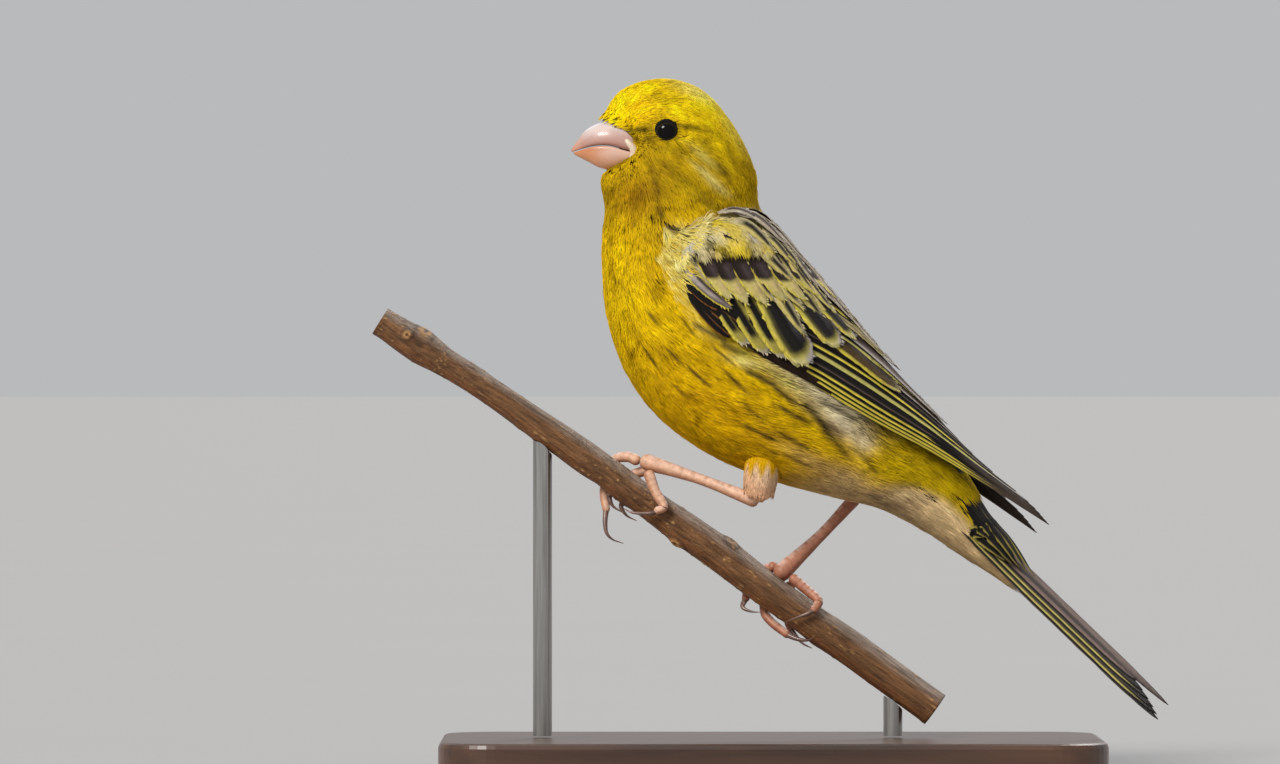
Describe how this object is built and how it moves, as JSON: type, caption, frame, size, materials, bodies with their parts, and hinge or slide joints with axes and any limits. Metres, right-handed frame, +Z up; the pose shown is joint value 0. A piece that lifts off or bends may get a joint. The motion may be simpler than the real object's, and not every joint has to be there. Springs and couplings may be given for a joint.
{
  "type": "canary model on a perch",
  "caption": "Life-size still model of a canary with folded wings gripping a slanting length of branch, held over a flat base by short rods.",
  "frame": {"origin": "middle of the underside of the stand's base", "axes": "+Z up, the bird faces -X, its left side is toward -Y"},
  "size_m": [0.1252, 0.056, 0.1094],
  "materials": {
    "plumage_yellow": "small overlapping body feathers, golden yellow with olive shading and dark streaks on back and flanks",
    "plumage_pale": "short pale downy feathers on the upper legs",
    "flight_feathers": "long vanes, blackish brown with thin cream and yellow edges",
    "bill_horn": "pale pink horn with a soft sheen",
    "eye": "wet black",
    "leg_scales": "pinkish brown scaled skin",
    "claw_horn": "brown translucent horn",
    "bark": "smooth young bark with pale breathing pores",
    "base_wood": "dark satin wood",
    "rod_steel": "fine brushed steel"
  },
  "bodies": {
    "root": {"head": "plumage_yellow", "neck": "plumage_yellow", "torso": "plumage_yellow", "tail": "flight_feathers", "wing_left": "flight_feathers", "wing_right": "flight_feathers", "bill_upper": "bill_horn", "bill_lower": "bill_horn", "eye_left": "eye", "eye_right": "eye", "thigh_left": "plumage_pale", "tarsus_left": "leg_scales", "toe_left_1": "leg_scales", "claw_left_1": "claw_horn", "toe_left_2": "leg_scales", "claw_left_2": "claw_horn", "toe_left_3": "leg_scales", "claw_left_3": "claw_horn", "toe_left_4": "leg_scales", "claw_left_4": "claw_horn", "thigh_right": "plumage_pale", "tarsus_right": "leg_scales", "toe_right_1": "leg_scales", "claw_right_1": "claw_horn", "toe_right_2": "leg_scales", "claw_right_2": "claw_horn", "toe_right_3": "leg_scales", "claw_right_3": "claw_horn", "toe_right_4": "leg_scales", "claw_right_4": "claw_horn", "perch": "bark", "stand_base": "base_wood", "stand_rod_front": "rod_steel", "stand_rod_back": "rod_steel"}
  },
  "joints": []
}
